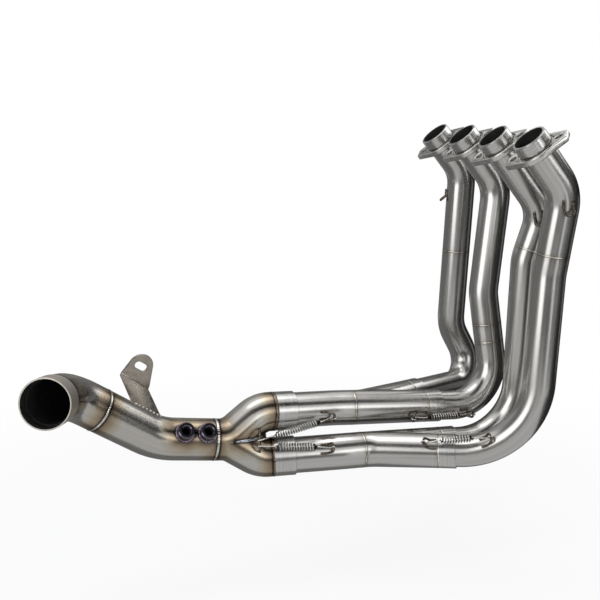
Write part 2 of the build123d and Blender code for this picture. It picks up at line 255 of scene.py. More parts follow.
def stationOf(stretches, distance):
    for stretch in stretches:
        if distance <= stretch["length"] or stretch is stretches[-1]:
            share = distance / stretch["length"]
            if "end" in stretch:
                heading = (stretch["end"] - stretch["start"]).normalized()
                return stretch["start"] + heading * distance, heading
            swing = Matrix.Rotation(stretch["angle"] * share, 3, stretch["axis"])
            arm = stretch["start"] - stretch["centre"]
            return stretch["centre"] + swing @ arm, swing @ stretch["heading"]
        distance -= stretch["length"]


def runLength(stretches):
    return sum(stretch["length"] for stretch in stretches)


def ringEdges(ring):
    # edges that join two of the ring's vertices, each once and in the ring's order
    members = set(ring)
    found = [edge for vert in ring for edge in vert.link_edges if edge.other_vert(vert) in members]
    return list(dict.fromkeys(found))


tubeMesh = {"sides": 48, "step": 4.0, "bendSteps": 5.0}  # step in mm, bendSteps in degrees


def sweepSkin(bm, stretches, startRadius, endRadius, sides, stepLength):
    # a ring carried along the run, with the place on the straightened tube kept on each vertex
    straight = bm.verts.layers.float_vector.get("straight") or bm.verts.layers.float_vector.new("straight")
    heading = (stretches[0]["end"] - stretches[0]["start"]).normalized()
    ring = bmesh.ops.create_circle(bm, cap_ends=False, segments=sides, radius=startRadius)["verts"]
    for vert in ring:
        vert[straight] = Vector((0, vert.co.x, vert.co.y))
    bmesh.ops.transform(bm, matrix=squareTo(heading, stretches[0]["start"]), verts=ring)
    total = runLength(stretches)
    along = 0.0
    rings = [ring]
    radius = startRadius
    for stretch in stretches:
        steps = max(1, ceil(stretch["length"] / stepLength))
        if "angle" in stretch:
            steps = max(steps, ceil(stretch["angle"] / radians(tubeMesh["bendSteps"])))
        for step in range(steps):
            if "end" in stretch:
                grown = bmesh.ops.extrude_edge_only(bm, edges=ringEdges(ring))["geom"]
                ring = [item for item in grown if isinstance(item, bmesh.types.BMVert)]
                bmesh.ops.translate(bm, verts=ring, vec=(stretch["end"] - stretch["start"]) / steps)
            else:
                spun = bmesh.ops.spin(bm, geom=ringEdges(ring), cent=stretch["centre"], axis=stretch["axis"],
                                      angle=stretch["angle"] / steps, steps=1, use_duplicate=False)
                ring = [item for item in spun["geom_last"] if isinstance(item, bmesh.types.BMVert)]
            along += stretch["length"] / steps
            wanted = startRadius + (endRadius - startRadius) * along / total
            if wanted != radius:
                middle = sum((vert.co for vert in ring), Vector()) / len(ring)
                growth = (wanted / radius,) * 3
                bmesh.ops.scale(bm, verts=ring, vec=growth, space=Matrix.Translation(-middle))
                radius = wanted
            for vert in ring:
                vert[straight] = Vector((along, vert[straight].y, vert[straight].z))
            rings.append(ring)
    bm.normal_update()
    probe = ring[0].link_faces[0]
    middle = sum((vert.co for vert in ring), Vector()) / len(ring)
    if probe.normal.dot(probe.calc_center_median() - middle) < 0:  # inside out
        bmesh.ops.reverse_faces(bm, faces=list(bm.faces))
    return rings


def markWelds(mesh, weldPoints):
    # distance of each vertex from the nearest weld, for the heat tint
    tree = KDTree(len(weldPoints))
    for index, point in enumerate(weldPoints):
        tree.insert(point, index)
    tree.balance()
    weld = mesh.attributes.new("weld", "FLOAT", "POINT")
    for index, vert in enumerate(mesh.vertices):
        weld.data[index].value = tree.find(vert.co)[2]


def ringPoints(centre, axis, radius, spacing=1.5 * mm):
    count = ceil(2 * pi * radius / spacing)
    place = squareTo(axis, centre)
    return [place @ Vector((radius * cos(2 * pi * i / count), radius * sin(2 * pi * i / count), 0))
            for i in range(count)]


def wireMesh(name, points, diameter, closed=False, swell=None):
    # round wire through the points; swell gives its thickness at each as a share of the diameter
    line = bpy.data.curves.new(name, "CURVE")
    line.dimensions = "3D"
    line.bevel_depth = diameter / 2
    line.bevel_resolution = 2
    line.use_fill_caps = True
    spline = line.splines.new("POLY")
    spline.points.add(len(points) - 1)
    for index, (knot, place) in enumerate(zip(spline.points, points)):
        knot.co = (*place, 1)
        knot.radius = swell[index] if swell else 1.0
    spline.use_cyclic_u = closed
    holder = bpy.data.objects.new(name, line)
    bpy.context.scene.collection.objects.link(holder)
    mesh = bpy.data.meshes.new_from_object(holder.evaluated_get(bpy.context.evaluated_depsgraph_get()))
    bpy.data.objects.remove(holder)
    mesh.shade_smooth()
    return mesh


print("tools ready")


# Materials

# real brush lines, turned rings and grain are finer: these sizes in mm are as coarse as they need to show
tubeLook = {
    "steel": "bdbcba", "darkStreak": "b2b1af", "streakWidth": 3.6, "streakLength": 160.0,
    "smudge": 34.0, "roughLow": 0.2, "roughHigh": 0.27, "bumpHeight": 0.002,
    # the first: how dark the painted shade beside a weld goes
    "toeShadeDepth": 0.22, "ragged": 0.6,  # share of the tinted reach by which its edge wanders
}
# heat colours out from a weld, as shares of the tinted reach
heatStops = [
    (0.0, linear("6f5c4c")), (0.1, linear("86705a")), (0.2, linear("a58d70")),
    (0.38, linear("cdb692")), (0.65, linear("eadfcb")), (1.0, linear("fbf8f3")),
]


def brushedStainless(name, tintReach, tintStrength, toeShade):
    # drawn and brushed stainless tube: long fine streaks, soft smudges, brown and straw beside the welds,
    # and a dark line of painted shade along the edge of each bead
    material, tree, shader = startMaterial(name)
    straight = addNode(tree, "ShaderNodeAttribute", {"attribute_name": "straight"})
    across = perMetre / tubeLook["streakWidth"]
    lengthwise = perMetre / tubeLook["streakLength"]
    stretch = addNode(tree, "ShaderNodeMapping", {}, {
        "Vector": straight.outputs["Vector"], "Scale": (lengthwise, across, across)})
    streak = addNode(tree, "ShaderNodeTexNoise", {}, {
        "Vector": stretch.outputs["Vector"], "Scale": 1.0, "Detail": 1.5, "Roughness": 0.5})
    smudge = addNode(tree, "ShaderNodeTexNoise", {}, {
        "Vector": straight.outputs["Vector"], "Scale": perMetre / tubeLook["smudge"], "Detail": 4.0})
    grain = addNode(tree, "ShaderNodeValToRGB", {
        "stops": [(0.3, linear(tubeLook["darkStreak"])), (0.62, linear(tubeLook["steel"]))]}, {
        "Fac": streak.outputs["Fac"]})
    weld = addNode(tree, "ShaderNodeAttribute", {"attribute_name": "weld"})
    ragged = addNode(tree, "ShaderNodeMath", {"operation": "MULTIPLY_ADD"}, {
        0: smudge.outputs["Fac"], 1: -tubeLook["ragged"] * tintReach * mm, 2: weld.outputs["Fac"]})
    nearest = -tubeLook["ragged"] / 2
    reach = addNode(tree, "ShaderNodeMapRange", {}, {
        "Value": ragged.outputs["Value"],
        "From Min": nearest * tintReach * mm, "From Max": (nearest + 1) * tintReach * mm})
    heat = addNode(tree, "ShaderNodeValToRGB", {"stops": heatStops}, {"Fac": reach.outputs["Result"]})
    warm = addNode(tree, "ShaderNodeMixRGB", {"blend_type": "MULTIPLY"}, {
        "Fac": tintStrength, "Color1": grain.outputs["Color"], "Color2": heat.outputs["Color"]})
    # painted shade: a dark line just outside the bead, where it meets the tube
    edge = addNode(tree, "ShaderNodeMapRange", {"interpolation_type": "SMOOTHSTEP"}, {
        "Value": weld.outputs["Fac"], "From Min": toeShade[0] * mm, "From Max": toeShade[1] * mm,
        "To Min": tubeLook["toeShadeDepth"], "To Max": 1.0})
    tinted = addNode(tree, "ShaderNodeMixRGB", {"blend_type": "MULTIPLY"}, {
        "Fac": 1.0, "Color1": warm.outputs["Color"], "Color2": edge.outputs["Result"]})
    blend = addNode(tree, "ShaderNodeMath", {"operation": "MULTIPLY"}, {
        0: streak.outputs["Fac"], 1: smudge.outputs["Fac"]})
    rough = addNode(tree, "ShaderNodeMapRange", {}, {
        "Value": blend.outputs["Value"], "From Min": 0.12, "From Max": 0.42,
        "To Min": tubeLook["roughLow"], "To Max": tubeLook["roughHigh"]})
    bump = addNode(tree, "ShaderNodeBump", {}, {
        "Height": streak.outputs["Fac"], "Strength": 0.35, "Distance": tubeLook["bumpHeight"] * mm})
    shader.inputs["Metallic"].default_value = 1.0
    tree.links.new(tinted.outputs["Color"], shader.inputs["Base Color"])
    tree.links.new(rough.outputs["Result"], shader.inputs["Roughness"])
    tree.links.new(bump.outputs["Normal"], shader.inputs["Normal"])
    return material


turnedLook = {
    "steel": "bebdbb", "groove": "b5b4b2", "ringPitch": 2.2, "ringLength": 83.3, "grooveDepth": 0.006,
    "bright": (0.2, 0.25), "satin": (0.42, 0.5),  # roughness from and to
}


def turnedStainless(name, finish, tint="ffffff"):
    # lathe-turned stainless: fine rings round the axis, bright or satin as the tool left it
    material, tree, shader = startMaterial(name)
    straight = addNode(tree, "ShaderNodeAttribute", {"attribute_name": "straight"})
    across = perMetre / turnedLook["ringLength"]
    stretch = addNode(tree, "ShaderNodeMapping", {}, {
        "Vector": straight.outputs["Vector"], "Scale": (perMetre / turnedLook["ringPitch"], across, across)})
    rings = addNode(tree, "ShaderNodeTexNoise", {}, {
        "Vector": stretch.outputs["Vector"], "Scale": 1.0, "Detail": 2.0})
    colour = addNode(tree, "ShaderNodeValToRGB", {
        "stops": [(0.3, linear(turnedLook["groove"])), (0.6, linear(turnedLook["steel"]))]}, {
        "Fac": rings.outputs["Fac"]})
    tinted = addNode(tree, "ShaderNodeMixRGB", {"blend_type": "MULTIPLY"}, {
        "Fac": 1.0, "Color1": colour.outputs["Color"], "Color2": linear(tint)})
    rough = addNode(tree, "ShaderNodeMapRange", {}, {
        "Value": rings.outputs["Fac"], "From Min": 0.3, "From Max": 0.7,
        "To Min": turnedLook[finish][0], "To Max": turnedLook[finish][1]})
    bump = addNode(tree, "ShaderNodeBump", {}, {
        "Height": rings.outputs["Fac"], "Strength": 0.2, "Distance": turnedLook["grooveDepth"] * mm})
    shader.inputs["Metallic"].default_value = 1.0
    tree.links.new(tinted.outputs["Color"], shader.inputs["Base Color"])
    tree.links.new(rough.outputs["Result"], shader.inputs["Roughness"])
    tree.links.new(bump.outputs["Normal"], shader.inputs["Normal"])
    return material


# the second colour is painted shade, laid where a shade attribute is 0; the third leaves the metal as it is
grainLook = {"depth": 0.012, "paintedShade": "1a1714", "unshaded": "ffffff"}


def grainedSteel(name, light, dark, grainSize, roughLow, roughHigh, paintedShade=None):
    # plate, sheet and wire: short irregular grain from milling, rolling or drawing
    # the last argument, if given, names an attribute: 0 where painted shade darkens the metal and 1 where
    # the metal is left as it is
    material, tree, shader = startMaterial(name)
    place = addNode(tree, "ShaderNodeTexCoord")
    grain = addNode(tree, "ShaderNodeTexNoise", {}, {
        "Vector": place.outputs["Object"], "Scale": perMetre / grainSize, "Detail": 2.0, "Roughness": 0.5})
    colour = addNode(tree, "ShaderNodeValToRGB", {
        "stops": [(0.32, linear(dark)), (0.66, linear(light))]}, {"Fac": grain.outputs["Fac"]})
    if paintedShade:
        unshaded = addNode(tree, "ShaderNodeAttribute", {"attribute_name": paintedShade})
        shadeTint = addNode(tree, "ShaderNodeValToRGB", {
            "stops": [(0.5, linear(grainLook["paintedShade"])), (0.85, linear(grainLook["unshaded"]))]}, {
            "Fac": unshaded.outputs["Fac"]})
        colour = addNode(tree, "ShaderNodeMixRGB", {"blend_type": "MULTIPLY"}, {
            "Fac": 1.0, "Color1": colour.outputs["Color"], "Color2": shadeTint.outputs["Color"]})
    rough = addNode(tree, "ShaderNodeMapRange", {}, {
        "Value": grain.outputs["Fac"], "From Min": 0.3, "From Max": 0.7,
        "To Min": roughLow, "To Max": roughHigh})
    bump = addNode(tree, "ShaderNodeBump", {}, {
        "Height": grain.outputs["Fac"], "Strength": 0.2, "Distance": grainLook["depth"] * mm})
    shader.inputs["Metallic"].default_value = 1.0
    tree.links.new(colour.outputs["Color"], shader.inputs["Base Color"])
    tree.links.new(rough.outputs["Result"], shader.inputs["Roughness"])
    tree.links.new(bump.outputs["Normal"], shader.inputs["Normal"])
    return material


interiorShadeLook = {"dark": "0c0c0c", "light": "232221", "cloud": 9.0, "rough": 0.75}


def interiorShadeBlack(name):
    # painted shade: matt near-black, clouded a little, for the inner walls and cut ends of tubes and the
    # insides of bores
    material, tree, shader = startMaterial(name)
    place = addNode(tree, "ShaderNodeTexCoord")
    cloud = addNode(tree, "ShaderNodeTexNoise", {}, {
        "Vector": place.outputs["Object"], "Scale": perMetre / interiorShadeLook["cloud"], "Detail": 4.0})
    colour = addNode(tree, "ShaderNodeValToRGB", {
        "stops": [(0.35, linear(interiorShadeLook["dark"])), (0.7, linear(interiorShadeLook["light"]))]}, {
        "Fac": cloud.outputs["Fac"]})
    tree.links.new(colour.outputs["Color"], shader.inputs["Base Color"])
    shader.inputs["Roughness"].default_value = interiorShadeLook["rough"]
    return material


# reach of the tint, and the edges of the dark line of painted shade beside each weld, in mm from a weld
satinTube = brushedStainless("brushed stainless tube", 7.0, tintStrength=0.2, toeShade=(0.7, 1.9))
heatedTube = brushedStainless("brushed stainless, heat tinted", 24.0, tintStrength=0.85, toeShade=(2.4, 4.4))
turnedSteel = turnedStainless("turned stainless", "bright")
sleeveSteel = turnedStainless("turned stainless, warm", "satin", tint="fbf5ea")
bungSteel = turnedStainless("turned stainless, blued", "bright", tint="8d889a")
# light and dark of the grain, its size in mm, roughness from and to
flangeSteel = grainedSteel("milled stainless plate", "cdccc9", "bcbbb8", 6.0, 0.2, 0.28)
bracketSteel = grainedSteel("rolled stainless sheet", "a59e94", "938c82", 8.0, 0.26, 0.36)
wireSteel = grainedSteel("drawn stainless wire", "776f65", "3a342e", 3.0, 0.22, 0.4)
# painted shade darkens the inside of the coil, where little light gets between the turns
springSteel = grainedSteel("drawn spring wire", "dedcd8", "b9b5af", 2.0, 0.18, 0.28, paintedShade="outer")
beadSteel = grainedSteel("weld bead", "e0ded6", "b4aea0", 3.2, 0.16, 0.26)
brownBead = grainedSteel("weld bead, browned", "8f8270", "5b5043", 3.0, 0.2, 0.34)
paleBead = grainedSteel("weld bead, pale blue", "c4c8cf", "918e9a", 3.0, 0.16, 0.26)
bluedBead = grainedSteel("weld bead, blued", "8d8590", "5a4a4c", 2.4, 0.2, 0.4)
# painted shade for the insides of tubes and bores, where little light reaches
interiorShade = interiorShadeBlack("interiorShade")
print("materials ready")


# Bent tubes

def makeTube(name, points, bends, diameter, welds, material, node):
    bm = bmesh.new()
    stretches = stretchesOf(points, bends)
    radius = diameter / 2 * mm
    sweepSkin(bm, stretches, radius, radius, tubeMesh["sides"], tubeMesh["step"] * mm)
    outside = list(bm.faces)
    bmesh.ops.solidify(bm, geom=outside, thickness=stock["wall"] * mm)
    skin = set(outside)
    # the inner wall and the cut ends take the second material, painted shade
    for face in bm.faces:
        face.material_index = 0 if face in skin else 1
    mesh = closeMesh(bm, name)
    markWelds(mesh, welds)
    return addPiece(name, mesh, [material, interiorShade], "tube_steel", node)


def pipeRing(point, axis, diameter):
    return ringPoints(point, axis, diameter / 2 * mm)


def between(start, end, fromEnd):
    # point on the line, so many mm before its end
    return end + (start - end).normalized() * fromEnd * mm


primaryRun = {}
seamsOf = {}
for n in pipeNumbers:
    top, knee, waist, foot, end = corners[n]
    kneeBend, waistBend, footBend = primaries["kneeBend"], primaries["waistBend"], primaries["footBend"][n]
    primaryRun[n] = stretchesOf(corners[n], [kneeBend, waistBend, footBend])
    if n == 2:  # the one pipe welded from three lengths
        footReach = footBend / tan((waist - foot).angle(end - foot) / 2)
        seam = between(foot, waist, primaries["seamBelowWaist"])
        footSeam = between(waist, foot, footReach + primaries["seamAboveFoot"])
        seamsOf[n] = [(seam, waist - foot), (footSeam, waist - foot)]
        pieces = {
            "upper": ([top, knee, waist, seam], [kneeBend, waistBend]),
            "middle": ([seam, footSeam], []),
            "lower": ([footSeam, foot, end], [footBend]),
        }
    else:
        seam = between(knee, waist, primaries["seamAboveWaist"][n])
        seamsOf[n] = [(seam, knee - waist)]
        pieces = {
            "upper": ([top, knee, seam], [kneeBend]),
            "lower": ([seam, waist, foot, end], [waistBend, footBend]),
        }
    welds = [point for place, axis in seamsOf[n] for point in pipeRing(place, axis, stock["primary"])]
    for part, (points, bends) in pieces.items():
        makeTube(f"primaryTube{n}{part.title()}", points, bends, stock["primary"], welds, satinTube,
                 f"primary_{n}_{part}")
print("primary tubes made")

for level in inlet:
    points = [outletOf[level], lead[level], inlet[level]]
    welds = pipeRing(outletOf[level], lead[level] - outletOf[level], stock["secondary"])
    makeTube(f"{level}SecondaryTube", points, [rear["secondaryBend"]], stock["secondary"], welds, satinTube,
             f"{level}_secondary")

outletWelds = pipeRing(yEnd, yOut, stock["outlet"]) + pipeRing(elbowStart, climb, stock["outlet"])
bungAxis = outward(yOut, bungs["elevation"])
for along in bungs["along"]:
    seat = yEnd + yOut * along * mm + bungAxis * stock["outlet"] / 2 * mm
    outletWelds += ringPoints(seat, bungAxis, bungs["diameter"] / 2 * mm)
outletTube = makeTube("outletTube", [yEnd, dip, elbowStart], [rear["dipBend"]], stock["outlet"], outletWelds,
                      heatedTube, "outlet_pipe")
sleeveRear = elbowEnd - outletAxis * rear["sleeveLap"] * mm
# the elbow's weld, and rings behind the sleeve that paint shade with the heat tint
elbowWeldsAndShade = pipeRing(elbowStart, climb, stock["outlet"])
for behind in rear["sleeveShade"]:  # painted shade: dark tint bands on the elbow just behind the sleeve
    elbowWeldsAndShade += pipeRing(sleeveRear - outletAxis * behind * mm, outletAxis, stock["outlet"])
makeTube("outletElbowTube", [elbowStart, turn, elbowEnd], [rear["turnBend"]], stock["outlet"], elbowWeldsAndShade,
         heatedTube, "outlet_elbow")
print("rear tubes made")


# Collectors and Y-piece: two tapered branches run together

joining = {"sharp": 24, "crease": 16}  # degrees: shown as an edge, and taken as the line between branches


def branchMesh(name, points, bends, startDiameter, endDiameter):
    bm = bmesh.new()
    rings = sweepSkin(bm, stretchesOf(points, bends), startDiameter / 2 * mm, endDiameter / 2 * mm,
                      tubeMesh["sides"], tubeMesh["step"] * mm)
    for ring in (rings[0], rings[-1]):
        bmesh.ops.contextual_create(bm, geom=ringEdges(ring))
    bmesh.ops.recalc_face_normals(bm, faces=list(bm.faces))
    return closeMesh(bm, name)


def runTogether(name, first, second):
    holders = [bpy.data.objects.new(f"{name}Branch{i}", mesh) for i, mesh in enumerate((first, second))]
    for holder in holders:
        bpy.context.scene.collection.objects.link(holder)
    union = holders[0].modifiers.new("runTogether", "BOOLEAN")
    union.operation = "UNION"
    union.solver = "EXACT"
    union.object = holders[1]
    bpy.context.view_layer.update()
    mesh = bpy.data.meshes.new_from_object(holders[0].evaluated_get(bpy.context.evaluated_depsgraph_get()))
    mesh.name = name
    for holder in holders:
        bpy.data.objects.remove(holder)
    mesh.shade_smooth()
    mesh.set_sharp_from_angle(angle=radians(joining["sharp"]))
    return mesh


def crotchLine(mesh):
    # points of the sharp inward line where the branches meet
    bm = bmesh.new()
    bm.from_mesh(mesh)
    points = []
    for edge in bm.edges:
        if len(edge.link_faces) == 2 and edge.calc_face_angle_signed() < -radians(joining["crease"]):
            points += [vert.co.copy() for vert in edge.verts]
    bm.free()
    return points


for level in inlet:
    inner, outer = innerPipe[level], outerPipe[level]
    end = outletOf[level]
    straightBranch = branchMesh("straightBranch", [base[inner], end], [], socketOuter, stock["secondary"])
    bend = (collectors["neck"] - collectors["land"]) / tan(ahead[outer].angle(ahead[inner]) / 2)
    angledBranch = branchMesh("angledBranch", [base[outer], neck[level], end], [bend],
                              socketOuter, stock["secondary"])
    mesh = runTogether(f"{level}CollectorBody", straightBranch, angledBranch)
    welds = pipeRing(end, ahead[inner], stock["secondary"]) + crotchLine(mesh)
    for n in (inner, outer):
        welds += pipeRing(base[n], ahead[n], socketOuter)
    markWelds(mesh, welds)
    addPiece(f"{level}CollectorBody", mesh, [satinTube], "tube_steel", f"{level}_collector")

yBranches = []
for level in inlet:
    corner = inlet[level] + back[level] * rear["yInletStraight"] * mm
    yBranches.append(branchMesh(f"{level}Branch", [inlet[level], corner, yNeck, yEnd], [rear["yBend"]] * 2,
                                inletOuter, stock["outlet"]))
mesh = runTogether("yPieceBody", *yBranches)
outletPart = rear["yOutletStraight"] / 2 * mm  # clear of the outlet's end
yCrotch = [point for point in crotchLine(mesh) if (yEnd - point).dot(yOut) > outletPart]
welds = pipeRing(yEnd, yOut, stock["outlet"]) + yCrotch
for level in inlet:
    welds += pipeRing(inlet[level], back[level], inletOuter)
markWelds(mesh, welds)
addPiece("yPieceBody", mesh, [heatedTube], "tube_steel", "y_piece")
print("collectors and Y-piece made, crotch points:", len(yCrotch))


# Turned rings: spigots, sockets, outlet sleeve and lambda bosses

turning = {"sides": 72, "sharp": 25, "past": 0.01}  # past: mm beyond a bore that still count as inside it


def turnedRing(name, profile, point, axis, materials, slotName, node, shadeInside=0.0):
    # profile: (radius, height) pairs in mm, round the axis; faces nearer the axis than the inside radius
    # given take the second material, the painted shade
    bm = bmesh.new()
    straight = bm.verts.layers.float_vector.new("straight")
    verts = [bm.verts.new((radius * mm, 0, height * mm)) for radius, height in profile]
    edges = [bm.edges.new(pair) for pair in zip(verts, verts[1:] + verts[:1])]
    bmesh.ops.spin(bm, geom=verts + edges, cent=(0, 0, 0), axis=(0, 0, 1), angle=2 * pi,
                   steps=turning["sides"], use_merge=True, use_duplicate=False)
    bmesh.ops.remove_doubles(bm, verts=list(bm.verts), dist=sameSpot)
    bmesh.ops.recalc_face_normals(bm, faces=list(bm.faces))
    for vert in bm.verts:
        vert[straight] = Vector((vert.co.z, vert.co.x, vert.co.y))
    for face in bm.faces:
        # painted shade inside the bore
        if face.calc_center_median().xy.length < shadeInside * mm:
            face.material_index = 1
    bmesh.ops.transform(bm, matrix=squareTo(axis, point), verts=list(bm.verts))
    mesh = closeMesh(bm, name, turning["sharp"])
    addPiece(name, mesh, materials, slotName, node)


def slipSocket(name, tube, outside, depth, point, axis, node):
    # plain collar that takes a tube, its mouth broken by a small lip
    bore, outer, lip = tube / 2 + slip["clearance"], outside / 2, slip["lip"]
    profile = [(bore, 0), (outer, 0), (outer, depth - lip), (outer - lip, depth), (bore, depth)]
    turnedRing(name, profile, point, axis, [turnedSteel], "turned_steel", node)


for n in pipeNumbers:
    bore, outer, shoulder = ports["bore"] / 2, ports["spigot"] / 2, ports["shoulder"] / 2
    step, height = ports["shoulderHeight"], ports["height"]
    edge, chamfer = ports["shoulderEdge"], ports["chamfer"]
    profile = [
        (bore, 0), (shoulder - edge, 0), (shoulder, edge), (shoulder, step - edge), (shoulder - edge, step),
        (outer, step), (outer, height - chamfer), (outer - chamfer, height), (bore, height),
    ]
    turnedRing(f"portSpigot{n}", profile, corners[n][0], portAxis, [turnedSteel, interiorShade], "turned_steel",
               f"port_spigot_{n}", shadeInside=bore + turning["past"])
    slipSocket(f"slipSocket{n}", stock["primary"], socketOuter, slip["depth"], base[n], ahead[n],
               f"slip_socket_{n}")

for level in inlet:
    slipSocket(f"{level}InletSocket", stock["secondary"], inletOuter, slip["inletDepth"], inlet[level],
               -back[level], f"{level}_inlet_socket")

lapBore = stock["outlet"] / 2 + rear["sleevePlay"]
outer, bore, edge = rear["sleeveDiameter"] / 2, rear["sleeveBore"] / 2, rear["sleeveChamfer"]
length, lap = rear["sleeve"], rear["sleeveLap"]
profile = [
    (lapBore, 0), (outer - edge, 0), (outer, edge), (outer, length - edge), (outer - edge, length),
    (bore, length), (bore, lap), (lapBore, lap),
]
turnedRing("outletSleeve", profile, sleeveRear, outletAxis, [sleeveSteel, interiorShade], "turned_steel",
           "outlet_sleeve", shadeInside=bore + turning["past"])
print("turned rings made")

bungThread = {"pitch": 1.25, "depth": 0.55}
for index, along in enumerate(bungs["along"], 1):
    top = stock["outlet"] / 2 + bungs["height"]
    foot = stock["outlet"] / 2 - bungs["root"]
    outer, edge = bungs["diameter"] / 2, bungs["chamfer"]
    bore, mouth = bungs["bore"] / 2, bungs["mouth"]
    profile = [
        (bore, foot), (outer, foot), (outer, top - edge), (outer - edge, top),
        (bore + mouth, top), (bore, top - mouth),
    ]
    height = top - mouth - bungThread["pitch"]
    while height > foot + bungThread["pitch"]:
        profile += [(bore + bungThread["depth"], height + bungThread["pitch"] / 2), (bore, height)]
        height -= bungThread["pitch"]
    turnedRing(f"lambdaBoss{index}", profile, yEnd + yOut * along * mm, bungAxis, [bungSteel, interiorShade],
               "bung_steel", f"lambda_bung_{index}", shadeInside=bore + bungs["shadeDepth"])


def openUnder(piece, point, axis, radius):
    # opens the tube's wall under a boss
    bm = bmesh.new()
    bm.from_mesh(piece.data)
    doomed = []
    for face in bm.faces:
        reach = face.calc_center_median() - point
        height = reach.dot(axis)
        if height > 0 and (reach - axis * height).length < radius:
            doomed.append(face)
    bmesh.ops.delete(bm, geom=doomed, context="FACES")
    bm.to_mesh(piece.data)
    bm.free()


for along in bungs["along"]:
    openUnder(outletTube, yEnd + yOut * along * mm, bungAxis, bungs["hole"] / 2 * mm)
print("lambda bosses made")


# Spring hooks and springs

hookMesh = {"sides": 18, "step": 1.2, "sharp": 50}
hookWeld = {
    "width": 1.9, "lines": {"In": (-1.0, 1.1), "Out": (1.0, 1.3)},  # beside the leg, below its middle
    "fromTip": 0.5, "fromBow": 1.0, "points": 10, "thin": 0.75,
}
springs = {
    "wire": 1.6, "thinned": 0.96, "coil": 9.6, "pitch": 3.3, "pointsPerTurn": 14,
    "neck": 5.0, "neckShape": 0.6, "shank": 20.0, "eyePlay": 0.25, "eyeStep": 0.7,
}


def wirePiece(name, points, bends, node):
    bm = bmesh.new()
    radius = hooks["wire"] / 2 * mm
    run = stretchesOf(points, bends)
    rings = sweepSkin(bm, run, radius, radius, hookMesh["sides"], hookMesh["step"] * mm)
    for ring in (rings[0], rings[-1]):
        bmesh.ops.contextual_create(bm, geom=ringEdges(ring))
    bmesh.ops.recalc_face_normals(bm, faces=list(bm.faces))
    addPiece(name, closeMesh(bm, name, hookMesh["sharp"]), [wireSteel], "hook_wire", node)


def wireHook(name, middle, away, out, tubeRadius, node):
    half = hooks["span"] / 2
    reach = tubeRadius + hooks["wire"] / 2 + hooks["seat"]
    height = (reach ** 2 - half ** 2) ** 0.5
    across = out.cross(away).normalized()
    arms = {}
    for side in (-1, 1):
        arms[side] = [middle + (away * along + across * side * half + out * (height + lift)) * mm
                      for along, lift in ((-hooks["leg"], 0), (0, 0), (hooks["bow"], hooks["lift"]))]
    points = arms[-1] + arms[1][::-1]
    wirePiece(name, points, [hooks["bend"]] * (len(points) - 2), node)
    tip, count = hookWeld["fromTip"] - hooks["leg"], hookWeld["points"]
    weldRun = -hookWeld["fromBow"] - tip
    swell = [1.0 if i % 2 else hookWeld["thin"] for i in range(count)]
    for side, hand in ((-1, "Left"), (1, "Right")):  # a weld fillet on both sides of each leg
        for label, (beside, below) in hookWeld["lines"].items():
            foot = middle + (across * side * (half + beside) + out * (height - below)) * mm
            line = [foot + away * (tip + weldRun * i / (count - 1)) * mm for i in range(count)]
            seam = f"{name}Weld{label}{hand}"
            mesh = wireMesh(seam, line, hookWeld["width"] * mm, swell=swell)
            addPiece(seam, mesh, [brownBead], "hook_wire")
    bar = middle + (away * hooks["bow"] + out * (height + hooks["lift"])) * mm
    return bar, across


def hookOnPipe(name, n, run, towardsEnd, out, node):
    point, heading = stationOf(primaryRun[n], run)
    away = heading if towardsEnd else -heading
    lean = (out - away * out.dot(away)).normalized()
    return wireHook(name, point + away * hooks["leg"] / 2 * mm, away, lean, stock["primary"] / 2, node)


def eyeLine(bar, inward, across):
    # shank and eye at one end of a spring, from the coil outwards
    eye = hooks["wire"] / 2 + springs["wire"] / 2 + springs["eyePlay"]
    lift = inward.cross(across).normalized() * eye
    points = [bar + step * mm for step in (
        inward * springs["shank"], inward * (springs["shank"] - springs["neck"]), inward * 2 * eye + lift,
        -inward * eye + lift, -inward * eye - lift, inward * eye - lift)]
    bend = eye - springs["eyePlay"]
    run = stretchesOf(points, [2 * eye, 2 * eye, bend, bend])
    count = ceil(runLength(run) / (springs["eyeStep"] * mm))
    return [stationOf(run, runLength(run) * i / count)[0] for i in range(count + 1)]


def tensionSpring(name, startBar, endBar, startAcross, endAcross, node):
    line = endBar - startBar
    pull = line.normalized()
    coilRadius = (springs["coil"] - springs["wire"]) / 2
    coilLength = line.length / mm - 2 * springs["shank"]
    turns = coilLength / springs["pitch"]  # pulled a little open
    count = ceil(turns * springs["pointsPerTurn"])
    sideways = pull.orthogonal().normalized()
    upright = pull.cross(sideways)
    coil = []
    for i in range(1, count):
        along = coilLength * i / count
        fromEnd = min(along, coilLength - along)
        radius = coilRadius * min(1.0, (fromEnd / springs["neck"]) ** springs["neckShape"])
        angle = 2 * pi * turns * i / count
        centre = startBar + pull * (springs["shank"] + along) * mm
        coil.append(centre + (sideways * cos(angle) + upright * sin(angle)) * radius * mm)
    firstEye = eyeLine(startBar, pull, startAcross)[::-1]
    lastEye = eyeLine(endBar, -pull, endAcross)
    diameter = springs["wire"] * springs["thinned"] * mm  # clear of the bars, inside the coil's outline
    mesh = wireMesh(name, firstEye + coil + lastEye, diameter)
    # this attribute lays painted shade on the inside of the coil
    outer = mesh.attributes.new("outer", "FLOAT", "POINT")
    for index, vert in enumerate(mesh.vertices):  # 0 on the inside of the coil, 1 outside
        along = (vert.co - startBar).dot(pull) / mm
        fromAxis = (vert.co - startBar - pull * along * mm).length / mm
        inCoil = springs["shank"] < along < springs["shank"] + coilLength
        share = (fromAxis - coilRadius) / springs["wire"] + 0.5
        outer.data[index].value = min(1.0, max(0.0, share)) if inCoil else 1.0
    addPiece(name, mesh, [springSteel], "spring_steel", node)


